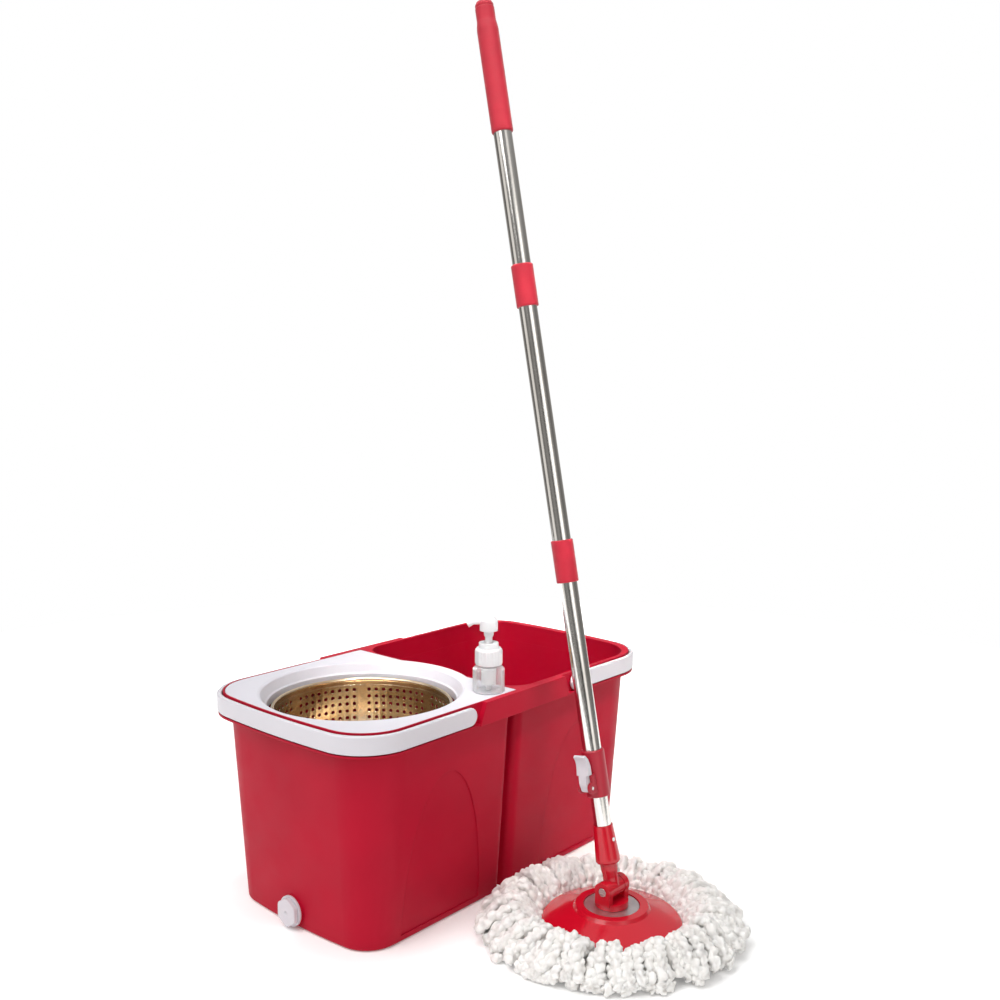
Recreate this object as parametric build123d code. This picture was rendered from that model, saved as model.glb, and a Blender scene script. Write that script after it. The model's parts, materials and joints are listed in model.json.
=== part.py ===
from build123d import *
import math
import os

os.makedirs("parts", exist_ok=True)

# Bucket, mm. Origin: centre of the flat base on the floor, +X along the long axis, +Z up.
BUCKET_H = 251.0        # floor to rim top
RIM_L = 504.0           # over the carry handles, before the bowed ends
RIM_W = 289.0
RIM_R = 62.0
RIM_BOW = 9.2
BASE_L = RIM_L - 54.0   # base length before the bowed ends
BASE_W = RIM_W - 56.0
BASE_R = 40.0
TOP_L = RIM_L - 27.5    # wall, carried up to rim height
TOP_W = RIM_W - 17.5
TOP_R = 57.0
END_BOW = 8.5           # bulge of each end wall
WALL = 2.6
FLOOR = 3.0
BASE_FILLET = 4.0
WAIST_X = -10.5         # groove between the two tubs
GROOVE_HALF = 5.0
GROOVE_DEPTH = 15.0
GROOVE_SHOULDER = 11.0
DIVIDER_T = 4.0
DIVIDER_R = 32.0        # inner corners beside the divider
BLOCK_TOP = 71.0        # half length of the plain middle of the rim
BLOCK_BOTTOM = 81.0
ARCH_X = 118.0          # shallow arch on each half of the long walls
ARCH_HALF = 62.0
ARCH_PEAK = BUCKET_H - 70.0
ARCH_DEPTH = 1.2

# Carry handles
HANDLE_T = 5.4
HANDLE_H = 21.0
HANDLE_DROP = 1.2       # handle top below rim top
HANDLE_GAP = 1.2        # handle to skirt
HANDLE_TIP = 86.0       # |x| of the rounded tips
HANDLE_EDGE = 2.2
PIVOT_R = 3.5
RUN_FIT = 0.05          # radial clearance of every running fit
FLAT_GAP = 0.3          # clearance between faces that slide past each other

# Basket panel and spin basket
BASKET_X = -128.0
PANEL_T = 3.0
PANEL_GAP = 0.4
PANEL_LIP = 1.8         # rim lip around the panel
PANEL_EAR_X = -10.0
BASKET_R = 106.0        # over the rolled rim
BASKET_DEPTH = 101.0
BASKET_TOP = BUCKET_H - 16.0
BASKET_FLOOR = BASKET_TOP - BASKET_DEPTH
PANEL_ARC = BASKET_R + 25.0     # right edge of the panel, concentric with the basket
DISH_R = BASKET_R + 14.0        # top edge of the dished collar round the basket
DISH_DROP = 13.0
DISH_T = 2.6
BASKET_T = 1.0
BASKET_GAP = 4.0        # rolled rim to panel opening
ROLL_R = 2.4
BAND_Z0 = BASKET_FLOOR + 16.0   # perforated band of the wall
BAND_Z1 = BASKET_TOP - 9.0
BAND_BEAD = 0.08        # how far the band stands proud of the wall on each side
HOLE_R = 2.2
HOLE_ROWS = 8
HOLE_BLOCKS = 7
HOLE_COLUMNS = 9        # a block of columns is followed by one blank facet
HOLE_PITCH_Z = 9.0
SPINDLE_R = 6.0
POST_TOP = BASKET_FLOOR - 17.0

# Soap dispenser
PUMP_X = -35.0
PUMP_Y = -114.5
BOTTLE_R = 18.6
BOTTLE_H = 33.0
BOTTLE_T = 1.2
BOTTLE_SINK = 1.5
COLLAR_R = 15.5
COLLAR_H = 25.0
PUMP_STROKE = 8.0

# Drain
DRAIN_Z = 19.2
DRAIN_FACE = BASE_L / 2 + END_BOW + 3.5     # |x| of the flat boss on the end wall
DRAIN_SEAT_R = 17.4
DRAIN_STEM_R = 6.0
DRAIN_KNOB_R = 17.0
DRAIN_STROKE = 8.0

# Mop. The handle is drawn upright from the pivot pin, then leaned.
PIN_Z = 57.0
LEAN = 11.3             # degrees towards +Y
PLATE_R = 77.5
PLATE_EDGE_Z = 22.0
RING_TOP_Z = 38.0
STRINGS_R = 151.0
STRINGS_TOP = 42.0
MOP_X = -15.0
MOP_Y = -(BASE_W / 2 + STRINGS_R + 12.2)    # strings just clear of the bucket
EAR_R = 10.5
EAR_T = 7.5
TONGUE_HALF = 10.6
PIN_R = 3.0
STUB_R = 8.0
TUBE_R = 10.25
TUBE_WALL = 0.8
INNER_R = TUBE_R - TUBE_WALL - RUN_FIT
LIP_R = TUBE_R + 3.35
LIP_S = 28.5            # distances S are measured along the handle from the pin
SOCKET_TOP_S = 69.5
BUTTON_S = 54.0
BUTTON_R = 2.2
CLAMP_S0 = 102.0
CLAMP_S1 = 153.0
CLAMP_R = TUBE_R + 2.75
JOINT_1_S = 362.5
JOINT_2_S = JOINT_1_S + 307.0
SLEEVE_H = 47.0
SLEEVE_R = TUBE_R + 2.05
GRIP_S0 = JOINT_2_S + 171.5
GRIP_SHOULDER_S = GRIP_S0 + 119.0
GRIP_TOP_S = GRIP_SHOULDER_S + 21.0
CAP_TOP_S = GRIP_TOP_S + 8.0
GRIP_R = TUBE_R + 1.85
NECK_R = TUBE_R + 0.45
CAP_R = TUBE_R - 3.05   # plug of the end cap
INNER_TOP_S = 300.0
PRESS_STROKE = 150.0
ROD_LEAD = 120.0
ROD_W = 9.0
ROD_T = 3.0
ROD_S0 = 112.0
ROD_FIT = 0.4

PIVOT_Z = BUCKET_H - HANDLE_DROP - HANDLE_H / 2
PIVOT_X = HANDLE_TIP + HANDLE_H / 2
SKIRT_INSET = HANDLE_T + HANDLE_GAP
LEDGE_Z = BUCKET_H - HANDLE_DROP - HANDLE_H - 1.0


def plan(x0, x1, half_w, radii, bow0, bow1):
    """Closed plan outline with straight long sides, rounded corners and bowed ends."""
    a = (x0, -half_w)
    b = (x1, -half_w)
    c = (x1, half_w)
    d = (x0, half_w)
    right = ThreePointArc(b, (x1 + bow1, 0), c) if bow1 else Line(b, c)
    left = ThreePointArc(d, (x0 - bow0, 0), a) if bow0 else Line(d, a)
    face = make_face([Line(a, b), right, Line(c, d), left])
    middle = (x0 + x1) / 2
    face = fillet(face.vertices().filter_by(lambda v: v.X < middle), radii[0])
    return fillet([v for v in face.vertices() if v.Y * v.Y > (half_w - 0.01) ** 2 and v.X > x1 - 0.01],
                  radii[1])


def spun(points):
    """Solid of revolution about Z from (r, z) points."""
    return revolve(Plane.XZ * make_face(Polyline(*points, close=True)), Axis.Z)


def rim_plan(inset):
    """Outline of the rim, moved inwards from the outer faces of the carry handles."""
    half = RIM_L / 2 - inset
    r = RIM_R - inset
    return plan(-half, half, RIM_W / 2 - inset, (r, r), RIM_BOW, RIM_BOW)


def tub_plan(z, inset):
    """Outline of the tapered outer wall at height z."""
    t = z / BUCKET_H
    half = (BASE_L + (TOP_L - BASE_L) * t) / 2 - inset
    half_w = (BASE_W + (TOP_W - BASE_W) * t) / 2 - inset
    r = BASE_R + (TOP_R - BASE_R) * t - inset
    return Pos(0, 0, z) * plan(-half, half, half_w, (r, r), END_BOW, END_BOW)


def cavity_plan(z, side):
    """Inner outline of one tub at height z: side -1 holds the basket, side 1 washes."""
    t = z / BUCKET_H
    end = (BASE_L + (TOP_L - BASE_L) * t) / 2 - WALL
    half_w = (BASE_W + (TOP_W - BASE_W) * t) / 2 - WALL
    r = BASE_R + (TOP_R - BASE_R) * t - WALL
    near = WAIST_X + side * DIVIDER_T / 2
    if side < 0:
        face = plan(-end, near, half_w, (r, DIVIDER_R), END_BOW, 0)
    else:
        face = plan(near, end, half_w, (DIVIDER_R, r), 0, END_BOW)
    return Pos(0, 0, z) * face


def tub(inset, z1):
    """Solid tapered tub."""
    return loft([tub_plan(0, inset), tub_plan(z1, inset)], ruled=True)


def groove(z0, z1):
    """Cutter for the vertical groove pair between the tubs."""
    cutter = None
    for side in (-1, 1):
        faces = []
        for z in (z0, z1):
            wall = (BASE_W + (TOP_W - BASE_W) * z / BUCKET_H) / 2
            outer = wall + 6
            pts = [
                (WAIST_X - GROOVE_HALF - GROOVE_SHOULDER - 2, outer),
                (WAIST_X - GROOVE_HALF - GROOVE_SHOULDER - 2, wall),
                (WAIST_X - GROOVE_HALF, wall),
                (WAIST_X - GROOVE_HALF, wall - GROOVE_DEPTH),
                (WAIST_X + GROOVE_HALF, wall - GROOVE_DEPTH),
                (WAIST_X + GROOVE_HALF, wall),
                (WAIST_X + GROOVE_HALF + GROOVE_SHOULDER + 2, wall),
                (WAIST_X + GROOVE_HALF + GROOVE_SHOULDER + 2, outer),
            ]
            face = make_face(Polyline(*pts, close=True))
            mouth = [v for v in face.vertices()
                     if abs(v.Y - wall) < 0.01 and abs(v.X - WAIST_X) < GROOVE_HALF + 0.01]
            face = fillet(mouth, GROOVE_SHOULDER)
            bottom = [v for v in face.vertices() if abs(v.Y - wall + GROOVE_DEPTH) < 0.01]
            face = fillet(bottom, GROOVE_HALF - 1.5)
            if side < 0:
                face = mirror(face, about=Plane.XZ)
            faces.append(Pos(0, 0, z) * face)
        piece = loft(faces, ruled=True)
        cutter = piece if cutter is None else cutter + piece
    return cutter


def arch_face():
    """Outline of one embossed arch in the XZ plane."""
    top = EllipticalCenterArc((0, 0), ARCH_HALF, ARCH_PEAK - 8, start_angle=0, arc_size=180)
    return make_face([top, Line((-ARCH_HALF, 0), (ARCH_HALF, 0))])


def arches():
    """Shallow recesses on the long walls."""
    skin = tub(-1.0, BUCKET_H - 30) - tub(ARCH_DEPTH, BUCKET_H - 30)
    arch = extrude(Plane.XZ * arch_face(), amount=200, both=True)
    cutter = None
    for x in (-ARCH_X, ARCH_X):
        piece = Pos(x, 0, 8) * arch
        cutter = piece if cutter is None else cutter + piece
    return cutter & skin & Pos(0, 0, 150) * Box(2 * ARCH_X + 2 * ARCH_HALF + 1, 400, 300)


def rim_ring(inset0, inset1, z0, z1):
    """Band between two rim outlines."""
    ring = Pos(0, 0, z0) * (rim_plan(inset0) - rim_plan(inset1))
    return extrude(ring, amount=z1 - z0)


def middle_blocks():
    """Full-thickness middle of the rim with slanted ends, between the carry handles."""
    z0 = LEDGE_Z - 2.4
    side = make_face(Polyline((-BLOCK_BOTTOM, z0), (BLOCK_BOTTOM, z0), (BLOCK_TOP, BUCKET_H),
                              (-BLOCK_TOP, BUCKET_H), close=True))
    prism = extrude(Plane.XZ * side, amount=200, both=True)
    return prism & rim_ring(0, SKIRT_INSET + 3.5, z0, BUCKET_H)


def panel_face(grow):
    """Plan outline of the basket panel."""
    inner = rim_plan(SKIRT_INSET + PANEL_LIP + PANEL_GAP - grow)
    left = Pos(-400 + PANEL_EAR_X + grow, 0) * Rectangle(800, 600)
    disc = Pos(BASKET_X, 0) * Circle(PANEL_ARC + grow)
    return inner & (left + disc)


def post():
    """Hollow pillar that carries the basket spindle."""
    outer = Pos(BASKET_X, 0, POST_TOP / 2) * Cone(32, 17, POST_TOP)
    head = Pos(BASKET_X, 0, POST_TOP - 10) * Cylinder(SPINDLE_R + 5, 20)
    return outer + head


def post_core():
    """Space inside the pillar, open below, and the blind seat of the spindle."""
    core = Pos(BASKET_X, 0, (POST_TOP - 22) / 2 - 0.5) * Cone(28.5, 14.5, POST_TOP - 21)
    seat = Pos(BASKET_X, 0, POST_TOP - 9) * Cylinder(SPINDLE_R, 18.01)
    return core + seat


def bucket():
    """Whole bucket moulding: tubs, pillar and rim."""
    body = tub(0, BUCKET_H)
    body = fillet(body.faces().sort_by(Axis.Z)[0].edges(), BASE_FILLET)
    body -= groove(-1, BUCKET_H - 8)
    body -= arches()
    body += rim_ring(SKIRT_INSET, SKIRT_INSET + 3.5, LEDGE_Z - 2.4, BUCKET_H)
    body += rim_ring(1.0, SKIRT_INSET + 3.5, LEDGE_Z - 2.4, LEDGE_Z)
    body += middle_blocks()
    body += extrude(Pos(0, 0, BUCKET_H - 6) * rim_plan(SKIRT_INSET), amount=6)
    for side in (-1, 1):
        body -= loft([cavity_plan(FLOOR, side), cavity_plan(BUCKET_H + 1, side)], ruled=True)
    body -= Pos(0, 0, BUCKET_H - PANEL_T) * extrude(panel_face(PANEL_GAP), amount=10)
    body -= dish_space()
    body += post()
    body -= post_core()
    for x in (-PIVOT_X, PIVOT_X):
        for side in (-1, 1):
            y = side * (RIM_W / 2 - SKIRT_INSET - 2.0)
            body -= Pos(x, y, PIVOT_Z) * Rot(90, 0, 0) * Cylinder(PIVOT_R + RUN_FIT, 6.0)
    boss = Pos(-DRAIN_FACE + 4, 0, DRAIN_Z) * Rot(0, 90, 0) * Cylinder(DRAIN_SEAT_R + 0.6, 8)
    body += boss
    return body - Pos(-DRAIN_FACE + 5, 0, DRAIN_Z) * Rot(0, 90, 0) * Cylinder(10, 24)


def above_split():
    """Space above the underside of the rim, where the moulding is split into two nodes."""
    return Pos(0, 0, LEDGE_Z - 2.4 + 50) * Box(700, 500, 100)


def carry_handle(side):
    """U-shaped bail around one end of the rim, with its two pivot stubs."""
    z0 = BUCKET_H - HANDLE_DROP - HANDLE_H
    ring = rim_ring(0, HANDLE_T, z0, z0 + HANDLE_H)
    profile = Pos(-PIVOT_X, PIVOT_Z) * Circle(HANDLE_H / 2)
    profile += Pos(-PIVOT_X - 200, PIVOT_Z) * Rectangle(400, HANDLE_H)
    bail = ring & extrude(Plane.XZ * profile, amount=300, both=True)
    long_edges = [e for e in bail.edges() if e.center().X < -HANDLE_TIP - HANDLE_H / 2 - 1
                  and abs(e.bounding_box().size.Z) < 0.01]
    bail = fillet(long_edges, HANDLE_EDGE)
    for y in (-1, 1):
        centre = y * (RIM_W / 2 - (HANDLE_T + SKIRT_INSET + 4.0) / 2)
        length = SKIRT_INSET + 4.0 - HANDLE_T + 1.0
        bail += Pos(-PIVOT_X, centre, PIVOT_Z) * Rot(90, 0, 0) * Cylinder(PIVOT_R, length)
    return bail if side < 0 else mirror(bail, about=Plane.YZ)


def dish_space():
    """Room under the panel for its dished collar."""
    r0 = BASKET_R + BASKET_GAP + DISH_T + 1.5
    z1 = BUCKET_H - DISH_DROP
    pts = [(0, BUCKET_H + 1), (DISH_R + 3.5, BUCKET_H + 1), (DISH_R + 3.5, BUCKET_H - PANEL_T - 1),
           (r0 + 3, z1 - 2), (r0, z1 - 6), (r0, z1 - 12), (0, z1 - 12)]
    return Pos(BASKET_X, 0, 0) * spun(pts)


def basket_panel():
    z0 = BUCKET_H - PANEL_T
    plate = extrude(Pos(0, 0, z0) * panel_face(0), amount=PANEL_T)
    plate = fillet(plate.faces().sort_by(Axis.Z)[-1].outer_wire().edges(), 1.0)
    plate -= Pos(BASKET_X, 0, z0) * Cylinder(DISH_R - 0.5, 20)
    r0 = BASKET_R + BASKET_GAP
    z1 = BUCKET_H - DISH_DROP
    pts = [
        (DISH_R, BUCKET_H), (DISH_R - 3, BUCKET_H - 1.2), (r0 + 1.5, z1 + 1.5), (r0, z1), (r0, z1 - 9),
        (r0 + DISH_T, z1 - 9), (r0 + DISH_T, z1 - 1), (DISH_R + 1.5, z0), (DISH_R + 1.5, BUCKET_H),
    ]
    panel = plate + Pos(BASKET_X, 0, 0) * spun(pts)
    return panel - Pos(PUMP_X, PUMP_Y, BUCKET_H) * Cylinder(BOTTLE_R + 0.5, 2 * BOTTLE_SINK)


def spindle():
    """Steel pin standing in the pillar."""
    pin = Pos(BASKET_X, 0, POST_TOP - 18 + 23) * Cylinder(SPINDLE_R, 46)
    return chamfer(pin.edges().sort_by(Axis.Z)[-1], 1.0)


def thrust_washer():
    ring = Cylinder(11, 2) - Cylinder(SPINDLE_R + 0.1, 4)
    return Pos(BASKET_X, 0, POST_TOP + 1) * ring


def perforated_band():
    """Facetted band of the basket wall: blocks of hole columns with a blank facet between."""
    facets = HOLE_BLOCKS * (HOLE_COLUMNS + 1)
    step = 360 / facets
    outer = (BASKET_R - ROLL_R + BAND_BEAD) / math.cos(math.radians(step / 2))
    inner = BASKET_R - ROLL_R - BASKET_T - BAND_BEAD
    ring = RegularPolygon(outer, facets) - RegularPolygon(inner, facets)
    band = extrude(Pos(0, 0, BAND_Z0) * ring, amount=BAND_Z1 - BAND_Z0)
    pin = Rot(0, 90, 0) * Cylinder(HOLE_R, 12)
    cutters = []
    for i in range(facets):
        if i % (HOLE_COLUMNS + 1) == HOLE_COLUMNS:
            continue
        for row in range(HOLE_ROWS):
            z = BAND_Z1 - 6 - row * HOLE_PITCH_Z
            cutters.append(Rot(0, 0, (i + 0.5) * step) * Pos(BASKET_R - 3, 0, z) * pin)
    return band - cutters


def floor_holes():
    """Two rings of drain holes in the basket floor."""
    inner = [Rot(0, 0, i * 15) * Pos(60, 0, BASKET_FLOOR) * Cylinder(2.5, 6) for i in range(24)]
    outer = [Rot(0, 0, i * 15 + 7.5) * Pos(75, 0, BASKET_FLOOR) * Cylinder(2.5, 6) for i in range(24)]
    return inner + outer


def spin_basket():
    """Perforated steel bowl with a rolled rim."""
    top = BASKET_R - ROLL_R
    z = BASKET_FLOOR
    t = BASKET_T
    pts = [(top, BAND_Z0 + 2), (top, z), (20, z), (20, z + t), (top - t, z + t), (top - t, BAND_Z0 + 2)]
    face = make_face(Polyline(*pts, close=True))
    face = fillet(face.vertices().sort_by_distance((top, z))[0], 14)
    face = fillet(face.vertices().sort_by_distance((top - t, z + t))[0], 13)
    bowl = revolve(Plane.XZ * face, Axis.Z) - floor_holes()
    neck = BASKET_TOP - ROLL_R
    bowl += spun([(top, BAND_Z1 - 2), (top, neck), (top - t, neck), (top - t, BAND_Z1 - 2)])
    bowl += perforated_band()
    bowl += Pos(0, 0, neck) * Torus(top, ROLL_R)
    return Pos(BASKET_X, 0, 0) * bowl


def basket_hub():
    """Plastic hub under and through the basket floor, running on the spindle."""
    z = BASKET_FLOOR
    under = POST_TOP + 2 + FLAT_GAP
    pts = [(SPINDLE_R + RUN_FIT, under), (15, under), (15, z - 4), (34, z - 1), (34, z), (19.7, z),
           (19.7, z + 6), (17, z + 8), (SPINDLE_R + RUN_FIT, z + 8)]
    hub = revolve(Plane.XZ * make_face(Polyline(*pts, close=True)), Axis.Z)
    return Pos(BASKET_X, 0, 0) * hub


def hub_cap():
    """Cap that closes the hub above the end of the spindle."""
    z = BASKET_FLOOR + 8
    pts = [(0, z + 8), (12, z + 8), (16.5, z + 4), (16.5, z), (SPINDLE_R + 1, z), (SPINDLE_R + 1, z + 5),
           (0, z + 5)]
    cap = revolve(Plane.XZ * make_face(Polyline(*pts, close=True)), Axis.Z)
    return Pos(BASKET_X, 0, 0) * cap


def at_pump(shape):
    return Pos(PUMP_X, PUMP_Y, BUCKET_H - BOTTLE_SINK) * shape


def soap_bottle():
    r = BOTTLE_R
    t = BOTTLE_T
    h = BOTTLE_H
    pts = [(0, 0), (r - 2, 0), (r, 2), (r, h - 5), (r - 4, h - 1), (11.5, h), (11.5, h + 12),
           (11.5 - t, h + 12), (11.5 - t, h - t), (r - 4.5, h - 1 - t), (r - t, h - 5.5), (r - t, 2.5),
           (r - 2.5, t), (0, t)]
    return at_pump(spun(pts))


def pump_collar():
    """Threaded cap of the bottle with a ribbed skirt and a stepped top."""
    z = BOTTLE_H + 0.6
    h = COLLAR_H
    pts = [(12, z), (COLLAR_R, z), (COLLAR_R, z + h - 8), (COLLAR_R - 1.5, z + h - 6), (11.5, z + h - 6),
           (11.5, z + h), (5.3, z + h), (5.3, z + h - 3), (9.6, z + h - 5), (12, z + h - 8.5)]
    cap = spun(pts)
    rib = Pos(COLLAR_R, 0, z + (h - 8) / 2) * Cylinder(0.5, h - 10)
    cap += [Rot(0, 0, i * 15) * rib for i in range(24)]
    return at_pump(cap)


def pump_cylinder():
    """Clear barrel and dip tube hanging inside the bottle neck."""
    z = BOTTLE_H + 12.0
    pts = [(11.4, z), (11.4, z + 1.2), (7.4, z + 1.2), (7.4, 10), (2.0, 8), (2.0, 3), (3.2, 3), (3.2, 8),
           (8.6, 10), (8.6, z)]
    return at_pump(spun(pts))


def pump_spring():
    """Return spring of the pump."""
    coil = Helix(pitch=4.2, height=25, radius=5.2)
    wire = Plane(origin=coil @ 0, z_dir=coil % 0) * Circle(0.5)
    return at_pump(Pos(0, 0, 12.5) * sweep(wire, path=coil, is_frenet=True))


def pump_head():
    """Plunger, finger pad and curved spout in one piece."""
    z = BOTTLE_H + 0.6 + COLLAR_H
    pts = [(0, z - 19), (6.9, z - 19), (6.9, z - 14), (4.2, z - 12), (4.2, z + 6), (5.6, z + 9), (5.6, z + 13),
           (10.4, z + 14.5), (10.4, z + 27), (8.5, z + 30), (0, z + 30)]
    head = spun(pts)
    path = Polyline((0, 0, z + 25), (-19, 0, z + 25.5), (-25, 0, z + 22))
    spout = sweep(Plane(origin=path @ 0, z_dir=path % 0) * Circle(3.2), path=path, transition=Transition.ROUND)
    return at_pump(Rot(0, 0, -35) * (head + spout))


def along_drain(x0, x1, r):
    """Cylinder on the drain axis between two distances from the bucket centre."""
    return Pos(-(x0 + x1) / 2, 0, DRAIN_Z) * Rot(0, 90, 0) * Cylinder(r, x1 - x0)


def drain_seat():
    """White flanged bush in the end wall."""
    f = DRAIN_FACE
    seat = along_drain(f, f + 2.6, DRAIN_SEAT_R) + along_drain(f - 9, f, 9.9)
    return seat - along_drain(f - 10, f + 4, DRAIN_STEM_R + 1.4)


def drain_seal():
    """Rubber ring carried on the stem."""
    f = DRAIN_FACE
    return along_drain(f - 6, f - 3, DRAIN_STEM_R + 1.35) - along_drain(f - 7, f - 2, DRAIN_STEM_R - 1)


def drain_stem():
    f = DRAIN_FACE
    stem = along_drain(f - 9, f + 5.5, DRAIN_STEM_R) - along_drain(f - 6, f - 3, DRAIN_STEM_R)
    return stem + along_drain(f - 7, f - 2, DRAIN_STEM_R - 1)


def drain_knob():
    """Six-lobed knob with a dimple."""
    f = DRAIN_FACE + 2.6 + FLAT_GAP
    face = RegularPolygon(DRAIN_KNOB_R, 6)
    face = fillet(face.vertices(), 6)
    knob = extrude(face, amount=5.5)
    knob = chamfer(knob.faces().sort_by(Axis.Z)[-1].edges(), 0.8)
    knob -= Pos(0, 0, 5.5) * Cone(0.5, 5, 3)
    knob -= Cylinder(DRAIN_STEM_R + RUN_FIT, 2 * (DRAIN_FACE + 5.5 - f) + 0.2)
    return Pos(-f, 0, DRAIN_Z) * Rot(0, -90, 0) * knob


def at_mop(shape):
    return Pos(MOP_X, MOP_Y, 0) * shape


def mop_plate():
    """Shallow dished disc with a raised ring and a swivel boss."""
    r = PLATE_R
    e = PLATE_EDGE_Z
    t = RING_TOP_Z
    b = STUB_R + RUN_FIT
    pts = [(b, t - 2.5), (31, t - 2.5), (31, t), (40, t), (42.5, t - 3.7), (r - 2.5, e), (r, e - 2.5),
           (r, e - 8), (r - 2.5, e - 8), (r - 2.5, e - 3), (r - 4, e - 2), (42, t - 6.5), (16, t - 6.5),
           (16, t - 16), (b, t - 16)]
    return at_mop(spun(pts))


def plate_washer():
    """Steel disc let into the middle of the plate."""
    z = RING_TOP_Z - 2.5
    return at_mop(spun([(STUB_R + 1, z), (30.6, z), (30.6, z + 1.2), (30, z + 1.5), (STUB_R + 1, z + 1.5)]))


def string_ring():
    """Plastic ring under the plate that the strings are sewn to, with clip posts."""
    z = PLATE_EDGE_Z - 11.5
    ring = Pos(0, 0, z) * (Cylinder(74, 7) - Cylinder(50, 8))
    hole = Pos(62, 0, z) * Cylinder(4, 10)
    ring -= [Rot(0, 0, i * 24) * hole for i in range(15)]
    clip = Pos(0, 0, z + 6.5) * (Cylinder(57, 6) - Cylinder(54, 8))
    return at_mop(ring + clip)


def mop_strings():
    """Soft wreath of strings lying on the floor around the plate."""
    r = STRINGS_R
    t = STRINGS_TOP
    e = PLATE_EDGE_Z
    pts = [(60, 1), (60, e - 16.5), (PLATE_R + 1.5, e - 15.5), (PLATE_R + 2, e - 2), (r - 58, t - 4),
           (r - 42, t), (r - 27, t - 3), (r - 8, t - 16), (r, t - 27), (r - 2, 7), (r - 12, 0), (64, 0)]
    wreath = spun(pts)
    top = [e for e in wreath.edges() if e.center().Z > t - 28 and e.bounding_box().size.X > 200]
    return at_mop(fillet(top, 4))


def yoke():
    """Forked swivel head: round base, two ears and the stub that turns in the plate."""
    base = RING_TOP_Z - 1 + FLAT_GAP
    top = PIN_Z - 13
    fork = Pos(0, 0, (base + top) / 2) * Cylinder(18.4, top - base)
    for side in (-1, 1):
        x = side * (TONGUE_HALF + FLAT_GAP + EAR_T / 2)
        ear = Pos(x, 0, PIN_Z) * Rot(0, 90, 0) * Cylinder(EAR_R, EAR_T)
        ear += Pos(x, 0, PIN_Z - 7.5) * Box(EAR_T, 2 * EAR_R - 2, 15)
        fork += ear
    bottom = RING_TOP_Z - 16 - FLAT_GAP
    fork += Pos(0, 0, (base + bottom) / 2) * Cylinder(STUB_R, base - bottom)
    fork -= Pos(0, 0, PIN_Z) * Rot(0, 90, 0) * Cylinder(PIN_R + 0.02, 60)
    for side in (-1, 1):
        x = side * (TONGUE_HALF + EAR_T + 1)
        fork -= Pos(x, 0, PIN_Z) * Rot(0, 90, 0) * Cylinder(PIN_R + 2.0, 5)
    fork -= Pos(0, 0, bottom + 7.9) * Cylinder(2.52, 16)
    return at_mop(fork)


def pivot_screw():
    """Cross pin of the handle joint with a domed head."""
    half = TONGUE_HALF + FLAT_GAP + EAR_T
    pin = Rot(0, 90, 0) * Cylinder(PIN_R, 2 * half - 2)
    for side in (-1, 1):
        head = Pos(side * (half - 0.95), 0, 0) * Rot(0, 90, 0) * Cylinder(PIN_R + 1.6, 1.6)
        pin += head
    pin -= Pos(-half, 0, 0) * Box(1.4, 1, 6)
    return at_mop(Pos(0, 0, PIN_Z) * pin)


def swivel_retainer():
    """Washer and screw below the plate that hold the stub in."""
    top = RING_TOP_Z - 16 - FLAT_GAP
    disc = Pos(0, 0, top - 1) * (Cylinder(13, 2) - Cylinder(2.52, 4))
    return at_mop(disc)


def retainer_screw():
    top = RING_TOP_Z - 16 - FLAT_GAP
    screw = Pos(0, 0, top - 2 + 7) * Cylinder(2.5, 14) + Pos(0, 0, top - 3.5) * Cylinder(5, 3)
    return at_mop(screw - Pos(0, 0, top - 5) * Box(1, 6, 2))


def on_handle(shape):
    """Place a piece drawn along +Z from the pin."""
    return Pos(MOP_X, MOP_Y, PIN_Z) * Rot(-LEAN, 0, 0) * shape


def sleeve_between(s0, s1, r1, r0):
    """Tube along the handle."""
    middle = Pos(0, 0, (s0 + s1) / 2)
    return middle * (Cylinder(r1, s1 - s0) - Cylinder(r0, s1 - s0 + 2))


def knuckle():
    """Tongue of the handle joint and the stub that plugs into the socket."""
    tongue = Rot(0, 90, 0) * Cylinder(EAR_R - 0.5, 2 * TONGUE_HALF)
    neck = spun([(0, 2), (7.6, 2), (7.8, 12), (9.4, 20), (9.6, LIP_S - 1), (LIP_R - 2, LIP_S - 0.4),
                 (LIP_R - 2, LIP_S), (8.3, LIP_S), (8.3, LIP_S + 12), (0, LIP_S + 12)])
    piece = tongue + neck
    piece -= Rot(0, 90, 0) * Cylinder(PIN_R + RUN_FIT, 60)
    rib = Pos(0, 0, 14) * (Box(3, 19.5, 22) + Box(19.5, 3, 22))
    piece += rib - Rot(0, 90, 0) * Cylinder(EAR_R - 0.5, 60)
    return on_handle(piece)


def handle_socket():
    """Tapered socket over the lower end of the inner tube."""
    r = INNER_R + RUN_FIT
    pts = [(8.4, LIP_S), (LIP_R - 1, LIP_S), (LIP_R, LIP_S + 1.5), (LIP_R, LIP_S + 4),
           (r + 1.2, SOCKET_TOP_S), (r, SOCKET_TOP_S), (r, LIP_S + 12.5), (8.4, LIP_S + 12.5)]
    return on_handle(spun(pts) - button(BUTTON_R + 0.1, 20))


def button(r, length):
    """Radial cylinder pair through the socket and the tube."""
    pair = Pos(0, 0, BUTTON_S) * Rot(90, 0, 0) * Cylinder(r, 2 * length)
    return pair - Pos(0, 0, BUTTON_S) * Cylinder(INNER_R - TUBE_WALL - 1.0, 20)


def socket_buttons():
    """Two spring buttons that hold the tube in its socket."""
    return on_handle(button(BUTTON_R, INNER_R + 2.6))


def inner_tube():
    tube = sleeve_between(LIP_S + 12.6, INNER_TOP_S, INNER_R, INNER_R - TUBE_WALL)
    return on_handle(tube - button(BUTTON_R + 0.1, 20))


def rod_section(grow):
    return Rectangle(ROD_W + 2 * grow, ROD_T + 2 * grow)


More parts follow.
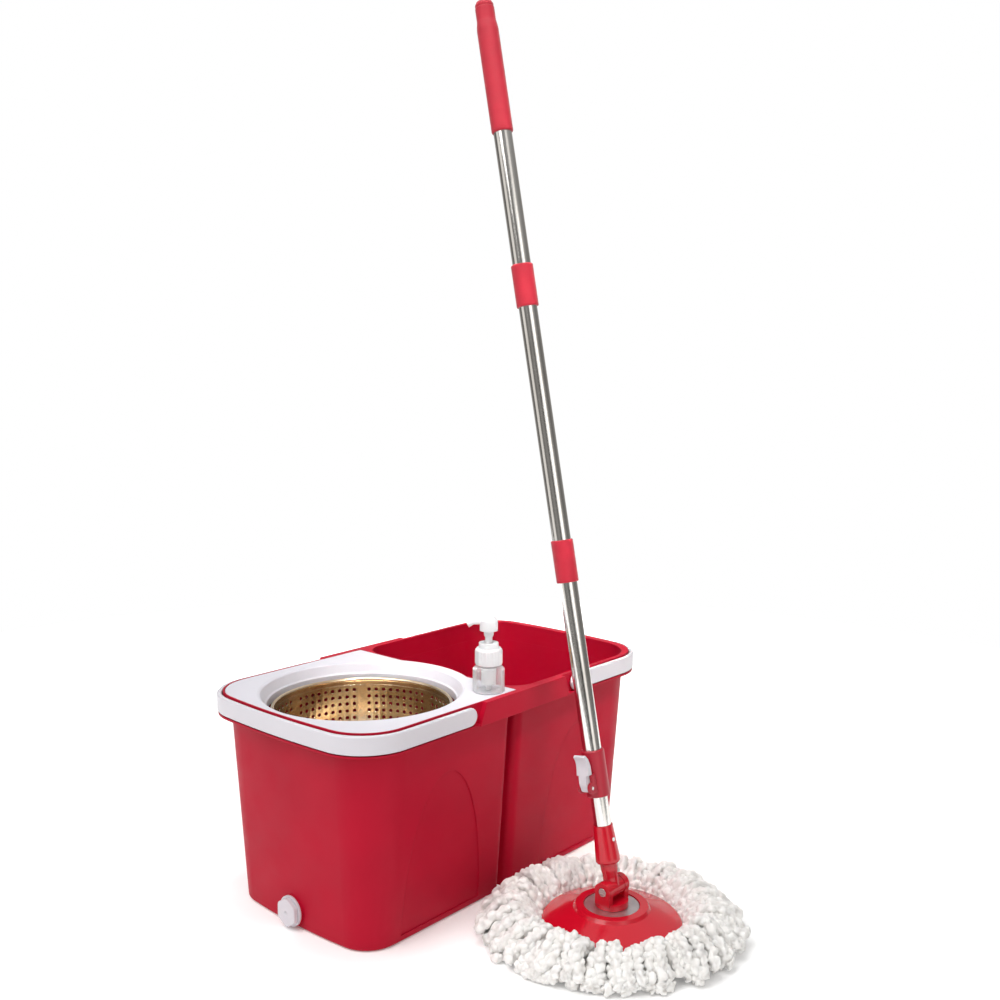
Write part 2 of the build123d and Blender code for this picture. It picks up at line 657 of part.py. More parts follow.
def twisted(grow, s0, s1):
    """Twisted flat bar: its section turns once per lead along the handle."""
    turn = 360 * (s1 - s0) / ROD_LEAD
    start = 360 * s0 / ROD_LEAD
    face = (Pos(0, 0, s0) * Rot(0, 0, start) * rod_section(grow)).faces()[0]
    return Solid.extrude_linear_with_rotation(face, (0, 0, s0), (0, 0, s1 - s0), turn)


def drive_nut():
    """Nut that the twisted rod drives, seated in the top of the inner tube."""
    r = INNER_R - TUBE_WALL - RUN_FIT
    nut = Pos(0, 0, INNER_TOP_S - 9) * Cylinder(r, 18)
    nut += Pos(0, 0, INNER_TOP_S + 1.5 + FLAT_GAP / 2) * Cylinder(INNER_R - 0.4, 3 - FLAT_GAP)
    nut += Pos(0, 0, INNER_TOP_S + 0.2) * Cylinder(r, 1)
    return on_handle(nut - twisted(ROD_FIT, INNER_TOP_S - 19, INNER_TOP_S + 4))


def spiral_rod():
    rod = twisted(0, ROD_S0, JOINT_1_S - 12)
    stop = Pos(0, 0, ROD_S0 - 2) * Cylinder(INNER_R - TUBE_WALL - 1.2, 4)
    return on_handle(rod + stop)


def connector(joint, seat):
    """Plug that couples two tube sections, with a collar between their ends."""
    r = TUBE_R - TUBE_WALL - RUN_FIT
    plug = Pos(0, 0, joint) * Cylinder(r, 28) + Pos(0, 0, joint) * Cylinder(TUBE_R - 0.1, 1.6)
    plug = plug - Pos(0, 0, joint - 14) * Cylinder(5.2, 4.04) if seat else plug
    return on_handle(plug)


def tube(s0, s1):
    return on_handle(sleeve_between(s0, s1, TUBE_R, TUBE_R - TUBE_WALL))


def joint_sleeve(joint):
    """Soft sleeve over a tube joint, with rounded ends."""
    body = sleeve_between(joint - SLEEVE_H / 2, joint + SLEEVE_H / 2, SLEEVE_R, TUBE_R + RUN_FIT)
    rings = body.edges().filter_by(GeomType.CIRCLE)
    return on_handle(fillet(rings.filter_by(lambda e: e.radius > SLEEVE_R - 0.01), 1.2))


def grip():
    """Soft hand grip with a necked top."""
    r = TUBE_R + RUN_FIT
    pts = [(r, GRIP_S0), (GRIP_R - 0.8, GRIP_S0), (GRIP_R, GRIP_S0 + 1.5), (GRIP_R, GRIP_SHOULDER_S - 4),
           (GRIP_R - 0.4, GRIP_SHOULDER_S), (NECK_R, GRIP_SHOULDER_S + 6), (NECK_R, GRIP_TOP_S - 1),
           (NECK_R - 0.5, GRIP_TOP_S), (CAP_R, GRIP_TOP_S), (CAP_R, GRIP_SHOULDER_S - 6),
           (r, GRIP_SHOULDER_S - 6)]
    return on_handle(spun(pts))


def grip_cap():
    """Domed plug in the end of the grip."""
    z = GRIP_TOP_S
    t = CAP_TOP_S
    p = CAP_R - 0.1
    c = NECK_R - 0.4
    pts = [(0, z - 14), (p, z - 14), (p, z), (c, z), (c, t - 5), (c - 1.7, t - 1.8), (c - 5.1, t - 0.3), (0, t)]
    return on_handle(spun(pts))


LEVER_X = -CLAMP_R - 5.0
LEVER_S = CLAMP_S0 + 13.0


def clamp_housing():
    """Lock body at the foot of the outer tube: bore, window and lever cheeks."""
    s0 = CLAMP_S0
    s1 = CLAMP_S1
    shell = spun([(INNER_R + RUN_FIT, s0), (CLAMP_R - 1, s0), (CLAMP_R, s0 + 1), (CLAMP_R, s1 - 1),
                  (CLAMP_R - 1, s1), (TUBE_R + RUN_FIT, s1), (TUBE_R + RUN_FIT, s0 + 28),
                  (INNER_R + RUN_FIT, s0 + 28)])
    for side in (-1, 1):
        cheek = Pos(LEVER_X, 0, LEVER_S) * Rot(90, 0, 0) * Cylinder(6.2, 3)
        cheek += Pos(LEVER_X + 4.5, 0, LEVER_S + 4) * Box(9, 3, 20.4)
        shell += Pos(0, side * 6.8, 0) * (cheek - Cylinder(CLAMP_R - 1.5, 900))
    shell -= Pos(-CLAMP_R, 0, LEVER_S) * Box(10, 10.4, 14)
    shell -= Pos(LEVER_X, 0, LEVER_S) * Rot(90, 0, 0) * Cylinder(2.02, 40)
    return on_handle(shell)


def lever_pin():
    return on_handle(Pos(LEVER_X, 0, LEVER_S) * Rot(90, 0, 0) * Cylinder(2.0, 16.4))


def clamp_pad():
    """Brake shoe between the cam and the inner tube."""
    ring = Pos(0, 0, LEVER_S) * (Cylinder(CLAMP_R - 1.3, 13) - Cylinder(INNER_R + 0.35, 20))
    return on_handle(ring & Pos(-CLAMP_R, 0, LEVER_S) * Box(10, 9.8, 20))


def lock_lever():
    """Finger lever with a cam round the pin."""
    x = LEVER_X
    s = LEVER_S
    top = CLAMP_S1 - 3
    outline = Spline((x - 4.6, s), (x - 5.6, s + 14), (x - 4.0, s + 26), (x - 7.0, top))
    face = make_face([outline, Line((x - 7.0, top), (x - 4.5, top + 1.8)),
                      Line((x - 4.5, top + 1.8), (x - 0.5, top - 3)), Line((x - 0.5, top - 3), (x + 3.2, s + 20)),
                      Line((x + 3.2, s + 20), (x + 3.2, s + 4)), Line((x + 3.2, s + 4), (x - 4.6, s))])
    lever = extrude(Plane.XZ * face, amount=4.9, both=True)
    lever += Pos(x, 0, s) * Rot(90, 0, 0) * Cylinder(4.7, 9.8)
    wings = extrude(Plane.XZ * face, amount=7.6, both=True) & Pos(x - 8, 0, s + 30) * Box(20, 30, 32)
    lever += wings - Pos(x + 3, 0, s + 8) * Box(40, 30, 13)
    return on_handle(lever - Pos(x, 0, s) * Rot(90, 0, 0) * Cylinder(2.0 + RUN_FIT, 40))


def build_all():
    moulding = bucket()
    pieces = {
        "bucket_body": moulding - above_split(),
        "bucket_rim": moulding & above_split(),
        "carry_handle_left": carry_handle(-1),
        "carry_handle_right": carry_handle(1),
        "basket_panel": basket_panel(),
        "spindle": spindle(),
        "thrust_washer": thrust_washer(),
        "spin_basket": spin_basket(),
        "basket_hub": basket_hub(),
        "hub_cap": hub_cap(),
        "soap_bottle": soap_bottle(),
        "pump_collar": pump_collar(),
        "pump_cylinder": pump_cylinder(),
        "pump_spring": pump_spring(),
        "pump_head": pump_head(),
        "drain_seat": drain_seat(),
        "drain_seal": drain_seal(),
        "drain_stem": drain_stem(),
        "drain_knob": drain_knob(),
        "mop_plate": mop_plate(),
        "plate_washer": plate_washer(),
        "string_ring": string_ring(),
        "mop_strings": mop_strings(),
        "yoke": yoke(),
        "pivot_screw": pivot_screw(),
        "swivel_retainer": swivel_retainer(),
        "retainer_screw": retainer_screw(),
        "knuckle": knuckle(),
        "handle_socket": handle_socket(),
        "socket_buttons": socket_buttons(),
        "inner_tube": inner_tube(),
        "drive_nut": drive_nut(),
        "spiral_rod": spiral_rod(),
        "lower_connector": connector(JOINT_1_S, True),
        "upper_connector": connector(JOINT_2_S, False),
        "outer_tube_lower": tube(CLAMP_S0 + 30, JOINT_1_S - 1),
        "outer_tube_middle": tube(JOINT_1_S + 1, JOINT_2_S - 1),
        "outer_tube_upper": tube(JOINT_2_S + 1, GRIP_SHOULDER_S - 8),
        "lower_sleeve": joint_sleeve(JOINT_1_S),
        "upper_sleeve": joint_sleeve(JOINT_2_S),
        "grip": grip(),
        "grip_cap": grip_cap(),
        "clamp_housing": clamp_housing(),
        "clamp_pad": clamp_pad(),
        "lever_pin": lever_pin(),
        "lock_lever": lock_lever(),
    }
    return pieces


for name, shape in build_all().items():
    export_step(shape, f"parts/{name}.step")
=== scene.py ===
import json
import math
import random

import bmesh
import bpy
from mathutils import Matrix, Vector, noise


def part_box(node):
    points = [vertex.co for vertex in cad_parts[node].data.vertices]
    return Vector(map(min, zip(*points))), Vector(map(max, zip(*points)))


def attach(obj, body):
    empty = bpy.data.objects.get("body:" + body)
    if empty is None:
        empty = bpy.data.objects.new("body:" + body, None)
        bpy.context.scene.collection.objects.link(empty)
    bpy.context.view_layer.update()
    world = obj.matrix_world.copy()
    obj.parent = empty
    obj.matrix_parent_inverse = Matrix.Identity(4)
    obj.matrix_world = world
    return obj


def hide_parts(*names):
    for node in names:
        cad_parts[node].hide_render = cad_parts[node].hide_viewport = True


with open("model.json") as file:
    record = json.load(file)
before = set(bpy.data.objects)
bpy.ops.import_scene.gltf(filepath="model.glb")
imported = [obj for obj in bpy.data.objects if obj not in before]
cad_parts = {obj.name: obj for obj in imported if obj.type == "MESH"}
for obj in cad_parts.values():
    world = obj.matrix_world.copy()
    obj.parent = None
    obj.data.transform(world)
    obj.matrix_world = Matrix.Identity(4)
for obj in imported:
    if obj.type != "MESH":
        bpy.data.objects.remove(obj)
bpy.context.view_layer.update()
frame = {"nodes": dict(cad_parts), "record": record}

NODES = frame["nodes"]
LEAN = math.radians(11.3)       # handle, away from upright

LENS = 40.70                    # mm
SENSOR = 36.0                   # mm
CAMERA_PLACE = (-0.9863, -0.9660, 0.6322)
CAMERA_AZIMUTH = -48.72         # degrees, as are the next two
CAMERA_ELEVATION = 7.06
CAMERA_ROLL = 0.24

FLOOR_R = 1.6                   # paper disc
FLOOR_DROP = 0.0006             # below the base, so that they don't share a plane
FADE_START = 0.5                # where the paper begins to fade to white
FADE_END = FLOOR_R * 0.9

# Brightness of the studio walls round the object, as (share of a turn, level)
CARDS = [(0.00, 0.34), (0.05, 0.42), (0.10, 0.28), (0.14, 0.08), (0.165, 0.10), (0.19, 1.7),
         (0.245, 1.7), (0.27, 0.45), (0.36, 0.26), (0.46, 0.38), (0.56, 0.75), (0.70, 0.6),
         (0.83, 0.16), (0.88, 1.4), (0.93, 1.4), (0.965, 0.28)]
CARD_TINT = (1.0, 0.97, 0.93)
FILL = 0.68                     # strength of the surround as a light


# ---------------------------------------------------------------- camera and light

def aim(obj, azimuth, elevation, roll, place):
    """Place an object and turn it to look from the given angle."""
    a, e, r = (math.radians(v) for v in (azimuth, elevation, roll))
    back = Vector((math.sin(a) * math.cos(e), -math.cos(a) * math.cos(e), math.sin(e)))
    right = Vector((math.cos(a), math.sin(a), 0.0))
    up = back.cross(right)
    right, up = math.cos(r) * right + math.sin(r) * up, math.cos(r) * up - math.sin(r) * right
    turn = Matrix((right, up, back)).transposed().to_4x4()
    obj.matrix_world = Matrix.Translation(place) @ turn


def make_camera():
    data = bpy.data.cameras.new("camera")
    data.lens = LENS
    data.sensor_width = SENSOR
    data.clip_start = 0.05
    data.clip_end = 60
    cam = bpy.data.objects.new("camera", data)
    bpy.context.scene.collection.objects.link(cam)
    aim(cam, CAMERA_AZIMUTH, CAMERA_ELEVATION, CAMERA_ROLL, Vector(CAMERA_PLACE))
    bpy.context.scene.camera = cam


def area_light(name, place, target, size, power, tint=(1, 1, 1), spread=180):
    """Square soft light at a place, turned to a target."""
    data = bpy.data.lights.new(name, "AREA")
    data.shape = "RECTANGLE"
    data.size = size
    data.size_y = size
    data.energy = power
    data.color = tint
    data.spread = math.radians(spread)
    lamp = bpy.data.objects.new(name, data)
    bpy.context.scene.collection.objects.link(lamp)
    lamp.location = place
    lamp.rotation_euler = (Vector(target) - Vector(place)).to_track_quat("-Z", "Y").to_euler()


def surround_color(t):
    """Cards round the horizon, blending into a white ceiling."""
    coord = t.nodes.new("ShaderNodeTexCoord")
    split = t.nodes.new("ShaderNodeSeparateXYZ")
    t.links.new(coord.outputs["Generated"], split.inputs[0])
    angle = t.nodes.new("ShaderNodeMath")
    angle.operation = "ARCTAN2"
    t.links.new(split.outputs["Y"], angle.inputs[0])
    t.links.new(split.outputs["X"], angle.inputs[1])
    turn = t.nodes.new("ShaderNodeMapRange")
    turn.inputs["From Min"].default_value = -math.pi
    turn.inputs["From Max"].default_value = math.pi
    t.links.new(angle.outputs[0], turn.inputs["Value"])
    cards = t.nodes.new("ShaderNodeValToRGB")
    t.links.new(turn.outputs[0], cards.inputs[0])
    ramp = cards.color_ramp
    ramp.interpolation = "EASE"
    while len(ramp.elements) < len(CARDS):
        ramp.elements.new(0.5)
    for element, (where, level) in zip(ramp.elements, CARDS):
        element.position = where
        element.color = (*scaled(CARD_TINT, level), 1)
    high = t.nodes.new("ShaderNodeMapRange")
    high.inputs["From Min"].default_value = 0.30
    high.inputs["From Max"].default_value = 0.80
    t.links.new(split.outputs["Z"], high.inputs["Value"])
    blend = t.nodes.new("ShaderNodeMix")
    blend.data_type = "RGBA"
    t.links.new(high.outputs[0], blend.inputs["Factor"])
    t.links.new(cards.outputs["Color"], blend.inputs["A"])
    blend.inputs["B"].default_value = (1.0, 1.0, 1.0, 1)
    return blend.outputs["Result"]


def make_world():
    """White to the camera; lit and mirrored as a white room with darker cards."""
    world = bpy.data.worlds.new("studio")
    bpy.context.scene.world = world
    world.use_nodes = True
    t = world.node_tree
    t.nodes.clear()
    fill = t.nodes.new("ShaderNodeBackground")
    fill.inputs["Strength"].default_value = FILL
    t.links.new(surround_color(t), fill.inputs["Color"])
    seen = t.nodes.new("ShaderNodeBackground")
    seen.inputs["Color"].default_value = (1, 1, 1, 1)
    seen.inputs["Strength"].default_value = 1.0
    path = t.nodes.new("ShaderNodeLightPath")
    mix = t.nodes.new("ShaderNodeMixShader")
    t.links.new(path.outputs["Is Camera Ray"], mix.inputs[0])
    t.links.new(fill.outputs[0], mix.inputs[1])
    t.links.new(seen.outputs[0], mix.inputs[2])
    out = t.nodes.new("ShaderNodeOutputWorld")
    t.links.new(mix.outputs[0], out.inputs[0])


def make_lights():
    area_light("key", (-2.3, -0.2, 2.3), (0, -0.1, 0.2), 1.5, 21.5)
    area_light("front", (-1.3, -2.9, 1.3), (0, -0.1, 0.3), 1.7, 9.5, tint=(1.0, 0.99, 0.98))
    area_light("tub", (-0.35, -0.75, 1.95), (0.18, 0.05, 0.14), 0.4, 0.70, tint=(1.0, 0.95, 0.90),
               spread=15)
    area_light("well", (-0.12, -0.05, 1.9), (-0.128, 0, 0.2), 0.5, 0.35, spread=30)
    sun = bpy.data.lights.new("sky", "SUN")
    sun.energy = 1.0
    sun.angle = math.radians(38)
    lamp = bpy.data.objects.new("sky", sun)
    bpy.context.scene.collection.objects.link(lamp)
    lamp.rotation_euler = Vector((-0.75, 0.25, 1.6)).to_track_quat("Z", "Y").to_euler()


def make_floor():
    bm = bmesh.new()
    bmesh.ops.create_circle(bm, cap_ends=True, segments=96, radius=FLOOR_R)
    mesh = bpy.data.meshes.new("floor")
    bm.to_mesh(mesh)
    bm.free()
    floor = bpy.data.objects.new("floor", mesh)
    bpy.context.scene.collection.objects.link(floor)
    floor.location.z = -FLOOR_DROP
    floor.data.materials.append(floor_material())


def make_studio():
    scene = bpy.context.scene
    scene.view_settings.view_transform = "Standard"
    scene.view_settings.look = "None"
    make_world()
    make_lights()
    make_floor()


# ---------------------------------------------------------------- materials

class Tree:
    """Small helper round one material's node tree."""

    def __init__(self, name):
        self.mat = bpy.data.materials.new(name)
        self.mat.use_nodes = True
        self.tree = self.mat.node_tree
        self.shader = self.tree.nodes["Principled BSDF"]
        self.coord = self.tree.nodes.new("ShaderNodeTexCoord")

    def node(self, kind, **inputs):
        n = self.tree.nodes.new("ShaderNode" + kind)
        for key, value in inputs.items():
            n.inputs[key.replace("_", " ")].default_value = value
        return n

    def link(self, a, b):
        self.tree.links.new(a, b)

    def place(self, scale=(1, 1, 1), rotation=(0, 0, 0)):
        m = self.node("Mapping")
        m.inputs["Scale"].default_value = scale
        m.inputs["Rotation"].default_value = rotation
        self.link(self.coord.outputs["Object"], m.inputs["Vector"])
        return m.outputs["Vector"]

    def noise(self, scale, detail=3, rough=0.55, vector=None):
        n = self.node("TexNoise", Scale=scale, Detail=detail, Roughness=rough)
        self.link(vector or self.coord.outputs["Object"], n.inputs["Vector"])
        return n.outputs["Fac"]

    def spread(self, value, low, high, start=0.3, end=0.7):
        m = self.node("MapRange", From_Min=start, From_Max=end, To_Min=low, To_Max=high)
        self.link(value, m.inputs["Value"])
        return m.outputs["Result"]

    def tint(self, factor, a, b):
        m = self.tree.nodes.new("ShaderNodeMix")
        m.data_type = "RGBA"
        m.inputs["A"].default_value = (*a, 1)
        m.inputs["B"].default_value = (*b, 1)
        self.link(factor, m.inputs["Factor"])
        return m.outputs["Result"]

    def bump(self, height, distance, strength=1.0, under=None):
        b = self.node("Bump", Strength=strength, Distance=distance)
        self.link(height, b.inputs["Height"])
        if under is not None:
            self.link(under, b.inputs["Normal"])
        return b.outputs["Normal"]

    def soft_edges(self, radius):
        b = self.node("Bevel", Radius=radius)
        b.samples = 6
        return b.outputs["Normal"]

    def set(self, **inputs):
        for key, value in inputs.items():
            self.shader.inputs[key.replace("_", " ")].default_value = value


def scaled(color, factor):
    return tuple(c * factor for c in color)


def shade(color, factor):
    return tuple(min(1.0, c) for c in scaled(color, factor))


def floor_material():
    """Pale paper that fades into the white surround away from the object."""
    t = Tree("floor_paper")
    t.link(t.tint(t.spread(t.noise(3.0), 0, 1), (0.97, 0.97, 0.97), (0.99, 0.99, 0.99)),
           t.shader.inputs["Base Color"])
    reach = t.tree.nodes.new("ShaderNodeVectorMath")
    reach.operation = "LENGTH"
    t.link(t.coord.outputs["Object"], reach.inputs[0])
    glow = t.spread(reach.outputs["Value"], 0.10, 1.0, FADE_START, FADE_END)
    t.link(glow, t.shader.inputs["Emission Strength"])
    t.set(Roughness=0.9, Specular_IOR_Level=0.1, Emission_Color=(1, 1, 1, 1))
    return t.mat


def plastic(name, color, rough, grain=900, grain_depth=0.00006, edge=0.0007, coat=0.0, specular=0.5,
            depth=0.0, mottle=0.06):
    """Moulded plastic: fine grain, slow variation of gloss and tone, softened edges and light scuffs."""
    t = Tree(name)
    slow = t.noise(9.0, 2)
    t.link(t.tint(t.spread(slow, 0, 1), shade(color, 1 - mottle), shade(color, 1 + mottle)),
           t.shader.inputs["Base Color"])
    flow = t.noise(30.0, 4)
    t.link(t.spread(flow, rough * 0.86, rough * 1.16), t.shader.inputs["Roughness"])
    normal = t.soft_edges(edge)
    normal = t.bump(t.noise(grain, 4, 0.6), grain_depth, 0.7, normal)
    normal = t.bump(t.noise(11.0, 1), 0.0002, 0.12, normal)
    t.link(normal, t.shader.inputs["Normal"])
    t.set(Specular_IOR_Level=specular, Coat_Weight=coat, Coat_Roughness=0.12)
    if depth:
        t.set(Subsurface_Weight=depth, Subsurface_Radius=(0.006, 0.003, 0.003), Subsurface_Scale=0.5)
    return t.mat


def soft_rubber(name, color):
    """Soft-touch grip: matt, slightly pebbled, with a faint sheen."""
    t = Tree(name)
    t.link(t.tint(t.spread(t.noise(40, 3), 0, 1), shade(color, 0.93), shade(color, 1.06)),
           t.shader.inputs["Base Color"])
    t.link(t.spread(t.noise(120, 3), 0.50, 0.62), t.shader.inputs["Roughness"])
    normal = t.soft_edges(0.0009)
    normal = t.bump(t.noise(1400, 3, 0.6), 0.00012, 0.8, normal)
    t.link(normal, t.shader.inputs["Normal"])
    t.set(Sheen_Weight=0.25, Sheen_Roughness=0.4, Specular_IOR_Level=0.4)
    return t.mat


def polished_tube(name):
    """Polished stainless tube with drawing lines along its axis and faint smears."""
    t = Tree(name)
    along = t.place((900, 900, 6), (LEAN, 0, 0))
    lines = t.noise(1.0, 4, 0.6, along)
    t.link(t.tint(t.spread(t.noise(16, 3), 0, 1), (0.66, 0.64, 0.61), (0.78, 0.76, 0.74)),
           t.shader.inputs["Base Color"])
    t.link(t.spread(lines, 0.10, 0.20), t.shader.inputs["Roughness"])
    t.set(Metallic=1.0)
    return t.mat


def basket_steel(name):
    """Spun stainless bowl: rings from spinning, warm in tone, with a soft burr round the holes."""
    t = Tree(name)
    rings = t.noise(1.0, 3, 0.6, t.place((4, 4, 700)))
    smear = t.noise(22, 4)
    tone = t.tint(t.spread(smear, 0, 1), (0.66, 0.49, 0.33), (0.90, 0.76, 0.56))
    t.link(tone, t.shader.inputs["Base Color"])
    t.link(t.spread(smear, 0.12, 0.24), t.shader.inputs["Roughness"])
    normal = t.bump(rings, 0.00003, 0.5, t.soft_edges(0.0005))
    normal = t.bump(t.noise(26, 2), 0.0012, 0.35, normal)
    t.link(normal, t.shader.inputs["Normal"])
    t.set(Metallic=1.0)
    return t.mat


def brushed(name, color, rough=0.3):
    """Turned or stamped steel with fine circular marks."""
    t = Tree(name)
    marks = t.noise(1.0, 3, 0.6, t.place((1500, 60, 1500)))
    t.link(t.tint(t.spread(t.noise(60), 0, 1), shade(color, 0.9), shade(color, 1.1)),
           t.shader.inputs["Base Color"])
    t.link(t.spread(marks, rough * 0.8, rough * 1.3), t.shader.inputs["Roughness"])
    t.link(t.bump(marks, 0.00002, 0.6, t.soft_edges(0.0003)), t.shader.inputs["Normal"])
    t.set(Metallic=1.0)
    return t.mat


def clear_plastic(name):
    """Thin clear bottle wall with a little waviness, thicker to the eye at its edges."""
    t = Tree(name)
    t.link(t.bump(t.noise(60, 2), 0.0006, 0.3), t.shader.inputs["Normal"])
    t.link(t.spread(t.noise(200, 3), 0.03, 0.08), t.shader.inputs["Roughness"])
    rim = t.node("LayerWeight", Blend=0.35)
    t.link(t.spread(rim.outputs["Facing"], 0.14, 0.60, 0.1, 0.9), t.shader.inputs["Alpha"])
    t.set(Base_Color=(0.86, 0.88, 0.90, 1), IOR=1.45)
    return t.mat


def milky_plastic(name):
    """Translucent polypropylene."""
    t = Tree(name)
    t.link(t.bump(t.noise(500, 3), 0.00005, 0.5, t.soft_edges(0.0004)), t.shader.inputs["Normal"])
    t.link(t.spread(t.noise(60, 3), 0.25, 0.4), t.shader.inputs["Roughness"])
    t.set(Base_Color=(0.93, 0.93, 0.94, 1), Transmission_Weight=0.35, IOR=1.45, Subsurface_Weight=0.3,
          Subsurface_Radius=(0.004, 0.004, 0.004), Subsurface_Scale=0.5)
    return t.mat


def chenille(name):
    """Looped microfibre pile: bright bobbles, painted shade that greys the creases between them, and a fine
    fuzz.
    """
    t = Tree(name)
    pile = t.tree.nodes.new("ShaderNodeAttribute")
    pile.attribute_name = "pile"
    # painted shade: a low pile value tints the creases between bobbles grey, standing in for the shade that
    # falls in them
    painted_crease_shade = t.tint(t.spread(pile.outputs["Fac"], 0, 1, 0.05, 0.75), (0.77, 0.75, 0.73), (0.94, 0.93, 0.915))
    tone = t.tree.nodes.new("ShaderNodeMix")
    tone.data_type = "RGBA"
    tone.blend_type = "MULTIPLY"
    tone.inputs["Factor"].default_value = 1.0
    t.link(painted_crease_shade, tone.inputs["A"])
    patches = t.spread(t.noise(90, 4, 0.6), 0, 1)
    t.link(t.tint(patches, (0.90, 0.89, 0.87), (1.0, 1.0, 1.0)), tone.inputs["B"])
    t.link(tone.outputs["Result"], t.shader.inputs["Base Color"])
    tufts = t.node("TexVoronoi", Scale=420.0, Randomness=1.0)
    t.link(t.coord.outputs["Object"], tufts.inputs["Vector"])
    normal = t.bump(tufts.outputs["Distance"], 0.0012, -0.8)
    normal = t.bump(t.noise(1300, 3, 0.7), 0.0006, 0.8, normal)
    t.link(normal, t.shader.inputs["Normal"])
    t.set(Roughness=0.95, Specular_IOR_Level=0.08, Sheen_Weight=0.35, Sheen_Roughness=0.5,
          Subsurface_Weight=0.12, Subsurface_Radius=(0.0025, 0.0022, 0.002), Subsurface_Scale=0.5)
    return t.mat


def dress_nodes():
    """Give every carried-over CAD node its material by record slot."""
    looks = {
        "bucket_red": plastic("bucket_red", (0.40, 0.002, 0.020), 0.46, grain=1300, grain_depth=0.00004,
                              edge=0.0009, specular=0.13),
        "handle_white": plastic("handle_white", (0.60, 0.58, 0.62), 0.38, edge=0.0010, depth=0.08,
                                mottle=0.015),
        "panel_white": plastic("panel_white", (0.62, 0.605, 0.66), 0.32, edge=0.0012, depth=0.08,
                               mottle=0.012),
        "steel_plain": brushed("steel_plain", (0.74, 0.74, 0.74), 0.25),
        "nylon": plastic("nylon", (0.80, 0.79, 0.74), 0.45, depth=0.1),
        "basket_steel": basket_steel("basket_steel"),
        "hub_grey": plastic("hub_grey", (0.62, 0.62, 0.64), 0.4),
        "clear_plastic": clear_plastic("clear_plastic"),
        "pump_white": plastic("pump_white", (0.70, 0.70, 0.72), 0.28, edge=0.0006, depth=0.12, mottle=0.01),
        "pump_clear": milky_plastic("pump_clear"),
        "seal_rubber": soft_rubber("seal_rubber", (0.03, 0.03, 0.03)),
        "head_red": plastic("head_red", (0.54, 0.004, 0.018), 0.17, grain=700, grain_depth=0.00002,
                            edge=0.0008, coat=0.25, specular=0.45),
        "washer_steel": brushed("washer_steel", (0.66, 0.66, 0.67), 0.36),
        "ring_white": plastic("ring_white", (0.85, 0.85, 0.85), 0.4),
        "microfibre": chenille("microfibre"),
        "tube_steel": polished_tube("tube_steel"),
        "grip_red": soft_rubber("grip_red", (0.43, 0.008, 0.026)),
        "clamp_red": plastic("clamp_red", (0.38, 0.005, 0.022), 0.36, edge=0.0009),
    }
    for part in frame["record"]["subparts"]:
        node = NODES[part["node"]]
        if not node.material_slots:
            node.data.materials.append(looks[part["material_slot"]])
        for s in node.material_slots:
            s.material = looks[part["material_slot"]]
    return looks


# ---------------------------------------------------------------- mop strings

PILE = 0.0056           # mean radius of a string
BOBBLE = 0.0050         # height of the bobbles above the creases
BOBBLE_RATE = 112.0     # bobbles per metre, about
CREASE = 0.42           # how wide the creases are, as a share of a bobble
NAP = 0.0007            # fine unevenness of the pile
NAP_RATE = 520.0
ROUND = 18              # vertices round a string
STEPS = 50              # rings along a string
TIP = 0.06              # share of the length that rounds off at the free end
ROOT = 0.066            # where the strings leave the sewn ring, from the head's axis
INSET = 0.004           # free ends inside the CAD solid's edge
TRIM = 0.025            # how much shorter the strings facing the viewer lie
FRONT = Vector((-0.7515, -0.6597))      # level direction from the head to the viewer
SWAY = 0.11             # radians, how far a string wanders round the head
LOWEST = 0.0045         # centre of a string that lies on the floor

# Layers from the top down: number of strings, thickness, and the way out as (share, height)
LAYERS = [
    (64, 1.00, [(0.00, 0.0045), (0.17, 0.012), (0.29, 0.026), (0.46, 0.0370), (0.64, 0.0350),
                (0.82, 0.0240), (1.00, 0.0120)]),
    (62, 1.02, [(0.00, 0.0045), (0.18, 0.011), (0.38, 0.024), (0.60, 0.0270), (0.82, 0.0180),
                (0.98, 0.0085)]),
    (58, 1.00, [(0.00, 0.0045), (0.28, 0.012), (0.58, 0.0165), (0.82, 0.0120), (1.00, 0.0070)]),
    (46, 0.98, [(0.00, 0.0045), (0.34, 0.0065), (0.66, 0.0075), (0.96, 0.0062)]),
]


def catmull(points, t):
    """Point at t in 0..1 along a smooth curve through the points."""
    n = len(points) - 1
    s = min(t * n, n - 1e-6)
    i = int(s)
    f = s - i
    p = [points[max(0, min(n, k))] for k in (i - 1, i, i + 1, i + 2)]
    return 0.5 * ((2 * p[1]) + (p[2] - p[0]) * f + (2 * p[0] - 5 * p[1] + 4 * p[2] - p[3]) * f * f
                  + (3 * p[1] - p[0] - 3 * p[2] + p[3]) * f * f * f)


def fluff(p, seed):
    """How full the looped pile is at a point: round bobbles near 1 with creases near 0."""
    q = p + Vector((seed * 0.37, seed * 0.61, seed * 0.13))
    near = noise.voronoi(q * BOBBLE_RATE)[0]
    return min(1.0, max(0.0, (near[1] - near[0]) / CREASE)) ** 0.55


